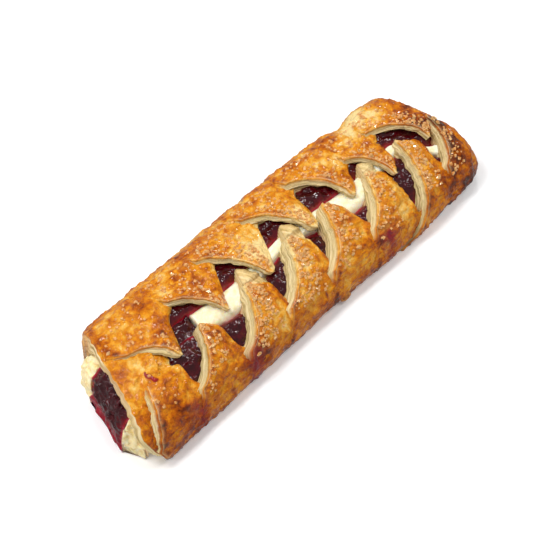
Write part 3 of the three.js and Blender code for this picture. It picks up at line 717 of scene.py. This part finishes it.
def ooze_length(share):
    """How far the filling bulges out of the open end: less towards both walls."""
    right, left = ease(0.38, 1.0, share), ease(0.6, 1.02, -share)
    return OOZE * (1 - right) * (1 - left)


def with_sides(values, fill):
    """Values of a rope's top, with `fill` for the points of its two sides."""
    return np.concatenate([values, np.full((len(values), 2 * SIDE_COLUMNS), fill)], axis=1)


def rope(name, low_edge, high_edge, start, end, lumps, lift, node, material, seed):
    """A closed rope between two shares of the hollow's half width, from left to right. Its top
    follows the dome of the hollow, raised by `lift` in its middle, with noise of three sizes
    times `lumps`. One that starts at the open end bulges out of it in a quarter ellipse."""
    oozes = start <= -HALF_LENGTH
    turned = np.linspace(0.97, 0, TOP_COLUMNS if oozes else 0) * np.pi / 2
    inside = np.arange(start, end, ROPE_STEP)
    along = np.concatenate([0 * turned - HALF_LENGTH - 1, inside])[:, None]
    out = np.concatenate([np.sin(turned) ** 0.85, 0 * inside])[:, None]
    swell = np.concatenate([np.cos(turned) ** 0.8, 0 * inside + 1])[:, None]
    half, height = hollow(np.clip(along, -HALF_LENGTH, HOLLOW_END - 1.0))
    low_share, high_share = low_edge(along), high_edge(along)
    turn = np.linspace(-1, 1, TOP_COLUMNS)[None, :]
    share = mix(low_share, high_share, (turn + 1) / 2)
    room = np.where(share > 0, drawn_in(MOUTH_ROOM, 1)(along), drawn_in(LEFT_MOUTH_ROOM, 1)(along))
    along = along - ooze_length(share) * out
    right = share * half
    crown = lift * (1 - np.abs(turn) ** 4) - 1.2 * np.abs(turn) ** 8
    fallen = 0.2 * drawn_in(1, 0)(along) * ease(0.55, 1, -share / room)
    top = BASE_THICKNESS + height * dome(share / room) * (1 - fallen) + crown
    low = np.where(out > 0.05, OOZE_FLOOR, BASE_THICKNESS)
    up = mix(low, top, swell)
    surface = np.stack([slanted(along, right), -right, up], axis=-1)
    bumps = lumps * (0.8 * lattice_noise(surface, 7.0, seed)
                     + 0.9 * lattice_noise(surface, 3.4, seed + 1)
                     + 0.3 * lattice_noise(surface, 1.7, seed + 2) - 0.4)
    in_ooze = (along < OOZE_CORE[0])[..., None]
    outward = np.where(in_ooze, surface - OOZE_CORE, [0.0, 0.0, 1.0])
    outward = outward / np.linalg.norm(outward, axis=-1, keepdims=True)
    surface = surface + bumps[..., None] * outward
    surface[..., 2] = np.maximum(surface[..., 2], OOZE_FLOOR)
    side = np.linspace(0.9, 0.0, SIDE_COLUMNS)[None, :]
    right_side = np.stack(np.broadcast_arrays(surface[:, -1:, 0], surface[:, -1:, 1],
                                              mix(low, surface[:, -1:, 2], side)), axis=-1)
    left_side = np.stack(np.broadcast_arrays(surface[:, :1, 0], surface[:, :1, 1],
                                             mix(low, surface[:, :1, 2], side[:, ::-1])), axis=-1)
    ring = np.concatenate([surface, right_side, left_side], axis=1)
    rope_width = np.maximum(4, (high_share - low_share) * half)
    from_edge = (1 - np.abs(turn)) / 2 * rope_width
    thinness = with_sides(np.exp(-from_edge / 1.6), 1.0) * 0.9
    # Painted light and shade on the ooze: redder low down and far out, darkest high up under the
    # lip.
    ooze_painted_light = 0.6 * out**2 * ease(24, 6, with_sides(surface[..., 2], 0.0))
    skin_mesh(name, ring, node, material,
              {"thin": np.maximum(thinness, ooze_painted_light), "curdy": ease(-118, -128, ring[..., 0])})


def cream_edge(side):
    """The left (-1) or right (1) edge of the middle cream: it wavers along the loaf, as the
    strips pressed it to either side, and turns to the right at the closed end."""
    def edge(along):
        centre = 0.12 + 0.09 * np.cos((along + 45) / 15.1) + 0.5 * ease(94, 112, along)
        return centre + side * (0.16 + 0.05 * np.cos((along + 50) / 15.1))
    return edge


left_wall = drawn_in(-WALL_SHARE * LEFT_MOUTH_ROOM, -WALL_SHARE)
right_wall = drawn_in(WALL_SHARE * MOUTH_ROOM, WALL_SHARE)
cherry_start, cherry_stop = drawn_in(-0.33, -0.56), drawn_in(0.52, 0.9)
rope("cherry_left", cherry_start, cream_edge(-1), BRAID_START, ROPE_END, 1.15, 2.6,
     "cherry_filling", gel.material, 81)
rope("cherry_right", cream_edge(1), cherry_stop, BRAID_START, ROPE_END, 1.15, 2.6,
     "cherry_filling", gel.material, 84)
rope("cherry_mouth", cherry_start, cherry_stop, -HALF_LENGTH, MOUTH_END, 1.9, 0.0,
     "cherry_filling", gel.material, 87)


# ---------------------------------------------------------------------------------------------
# The cream cheese: a rope down the middle and one along each wall. It is smooth ivory under
# the braid, and lumpy and yellower where it oozes out beside the cherry.
cream = Finish("cream_cheese", IOR=1.42, Subsurface_Weight=0.35,
               Subsurface_Radius=(0.006, 0.004, 0.002), Subsurface_Scale=1.0)
curd = cream.noise(3.0, detail=4, rough=0.6)
stained = cream.mark("thin")
curdy = cream.mark("curdy")
ivory = cream.ramp(curd, (0.3, colour(238, 222, 172)), (0.6, colour(250, 242, 214)))
yellow = cream.ramp(curd, (0.32, colour(222, 190, 116)), (0.46, colour(242, 220, 164)),
                    (0.7, colour(250, 238, 202)))
cream_tint = cream.blend(curdy, ivory, yellow)
cream.feed(Base_Color=cream.blend(stained.step(0.5, 1.6), cream_tint, colour(190, 96, 110)),
           Roughness=0.36 + 0.3 * curd)
cream.bump(curd * 0.5)

rope("cream_middle", cream_edge(-1), cream_edge(1), MIDDLE_START, ROPE_END, 0.5, 3.0,
     "cream_center", cream.material, 91)
rope("cream_side_left", left_wall, cherry_start, -HALF_LENGTH, ROPE_END, 1.8, 0.0,
     "cream_left", cream.material, 94)
rope("cream_side_right", cherry_stop, right_wall, -HALF_LENGTH, ROPE_END, 2.0, 0.0,
     "cream_right", cream.material, 97)


# ---------------------------------------------------------------------------------------------
# Coarse sugar baked on the crust: small clear crystals, half sunk and gilded by the egg wash.
# They lie thickest on the middle strips and stop short of the cut faces and the lower walls.
sugar = Finish("sugar", IOR=1.4, Roughness=0.28, Subsurface_Weight=0.4,
               Subsurface_Radius=(0.003, 0.002, 0.0015), Subsurface_Scale=1.0, Coat_Weight=0.5)
sparkle = sugar.noise(1.6, detail=2)
sugar.feed(Base_Color=sugar.ramp(
    sparkle, (0.35, colour(212, 138, 64)), (0.65, colour(236, 184, 124))))

CRYSTAL = np.array([[1, 1, 0.9], [-1, 1, 1.1], [-1, -1, 0.8], [1, -1, 1.0],
                    [1.1, 0.9, -1], [-0.9, 1, -1], [-1, -1.1, -1], [0.9, -1, -1]]) * 0.5
CRYSTAL_FACES = np.array([[0, 1, 2, 3], [7, 6, 5, 4], [0, 4, 5, 1], [1, 5, 6, 2], [2, 6, 7, 3],
                          [3, 7, 4, 0]])
CRYSTALS_A_STRIP = 90
CRYSTAL_SIZE = (0.8, 1.75)
LEFT_SUGAR = (0.5, 1.0, 1.6, 1.2, 0.9, 0.8, 1.2)
RIGHT_SUGAR = (0.15, 0.7, 1.8, 1.8, 1.0, 0.9, 0.9, 0.55)
SUGAR_FROM, SUGAR_FROM_EDGE, SUGAR_TO = 0.08, 0.05, 0.62  # shares of a strip that has sugar
draw = np.random.default_rng(7)
sugared_columns = np.flatnonzero((ACROSS > SUGAR_FROM_EDGE) & (ACROSS < SUGAR_TO))
seats, sizes = [], []
for top, density in zip(crust_tops, LEFT_SUGAR + RIGHT_SUGAR):
    count = int(CRYSTALS_A_STRIP * density)
    rows = draw.integers(int(len(top) * SUGAR_FROM), int(len(top) * SUGAR_TO), count)
    columns = draw.choice(sugared_columns, count)
    seats.append(top[rows, columns])
    sizes.append(draw.uniform(*CRYSTAL_SIZE, count))
seats, sizes = np.concatenate(seats), np.concatenate(sizes)
# Random quaternions w + ai + bj + ck and their turning matrices
spin = draw.normal(size=(len(seats), 4))
spin /= np.linalg.norm(spin, axis=1, keepdims=True)
w, a, b, c = spin.T
turns = np.stack([
    np.stack([1 - 2 * (b * b + c * c), 2 * (a * b - c * w), 2 * (a * c + b * w)], axis=-1),
    np.stack([2 * (a * b + c * w), 1 - 2 * (a * a + c * c), 2 * (b * c - a * w)], axis=-1),
    np.stack([2 * (a * c - b * w), 2 * (b * c + a * w), 1 - 2 * (a * a + b * b)], axis=-1)], axis=1)
corners = np.einsum("nij,kj->nki", turns, CRYSTAL) * sizes[:, None, None] + seats[:, None, :]
crystal_faces = CRYSTAL_FACES[None] + 8 * np.arange(len(seats))[:, None, None]
sugar_mesh = bpy.data.meshes.new("sugar_crystals")
sugar_mesh.from_pydata(((corners.reshape(-1, 3) + SHIFT) * MM).tolist(), [],
                       crystal_faces.reshape(-1, 4).tolist())
sugar_mesh.materials.append(sugar.material)
sugar_crystals = bpy.data.objects.new("sugar_crystals", sugar_mesh)
bpy.context.collection.objects.link(sugar_crystals)
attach(sugar_crystals, "root")
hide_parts("pastry")


# ---------------------------------------------------------------------------------------------
# The floor is a pale sheet that glows a little, and so stays white in the picture. In a white
# room, two broad lamps light the loaf from above on either side. They and the floor aren't
# mirrored in it: eight small lamps round it are, as the glints on egg wash and gel.
paper = Finish("paper", Base_Color=(0.94, 0.94, 0.94, 1), Roughness=0.9,
               Emission_Color=(1, 1, 1, 1), Emission_Strength=0.1)
FLOOR_HALF = 3.0
FLOOR_CORNERS = [(-1, -1, 0), (1, -1, 0), (1, 1, 0), (-1, 1, 0)]
floor_mesh = bpy.data.meshes.new("floor")
floor_mesh.from_pydata((np.array(FLOOR_CORNERS) * FLOOR_HALF).tolist(), [], [(0, 1, 2, 3)])
floor_mesh.materials.append(paper.material)
ground = bpy.data.objects.new("floor", floor_mesh)
bpy.context.collection.objects.link(ground)
ground.visible_glossy = False

ROOM_BRIGHTNESS = 0.34
world = bpy.data.worlds.new("room")
bpy.context.scene.world = world
world.use_nodes = True
room = world.node_tree.nodes["Background"]
room.inputs["Color"].default_value = (1.0, 1.0, 1.0, 1)
room.inputs["Strength"].default_value = ROOM_BRIGHTNESS


def lamp(name, place, size, power, mirrored):
    """A square area lamp that faces the loaf. Wet surfaces mirror it only where asked to."""
    light = bpy.data.lights.new(name, "AREA")
    light.size = size
    light.energy = power
    lamp_object = bpy.data.objects.new(name, light)
    lamp_object.location = place
    lamp_object.rotation_euler = (-Vector(place)).to_track_quat("-Z", "Y").to_euler()
    lamp_object.visible_glossy = mirrored
    bpy.context.collection.objects.link(lamp_object)


BROAD_LAMP, GLINT_LAMP = 0.3, 0.1
GLINTS = [((0.55, 0.45, 0.8), 1.5), ((-0.2, 0.8, 0.7), 0.8), ((0.9, 0.1, 0.7), 0.8),
          ((0.2, 0.2, 1.1), 1.0), ((-0.35, 0.3, 1.0), 0.8), ((0.5, -0.2, 1.0), 0.6),
          ((-0.65, 0.15, 0.75), 1.0), ((-0.95, 0.1, 0.4), 0.8)]
lamp("key_lamp", (-0.3, 0.25, 1.0), BROAD_LAMP, 4.8, mirrored=False)
lamp("fill_lamp", (0.45, -0.35, 1.0), BROAD_LAMP, 2.8, mirrored=False)
for number, (place, power) in enumerate(GLINTS, start=1):
    lamp(f"glint_lamp_{number}", place, GLINT_LAMP, power, mirrored=True)


# ---------------------------------------------------------------------------------------------
# The camera looks down at 60 degrees over the open end's right corner, from a metre away.
CAMERA_HEIGHT_ANGLE = np.radians(60)
CAMERA_TURN = np.radians(44.641)
CAMERA_DISTANCE = 1.0
CAMERA_TARGET = np.array([1.595, 7.609, 0]) * MM
CAMERA_LENS, CAMERA_SENSOR = 112.584, 36
level_view = np.array([np.sin(CAMERA_TURN), np.cos(CAMERA_TURN), 0])
forward = level_view * np.cos(CAMERA_HEIGHT_ANGLE) - np.array([0, 0, np.sin(CAMERA_HEIGHT_ANGLE)])
camera_data = bpy.data.cameras.new("camera")
camera_data.lens = CAMERA_LENS
camera_data.sensor_width = CAMERA_SENSOR
camera = bpy.data.objects.new("camera", camera_data)
camera.location = CAMERA_TARGET - CAMERA_DISTANCE * forward
camera.rotation_euler = Vector(forward).to_track_quat("-Z", "Y").to_euler()
bpy.context.collection.objects.link(camera)
bpy.context.scene.camera = camera
bpy.context.scene.view_settings.view_transform = "Standard"
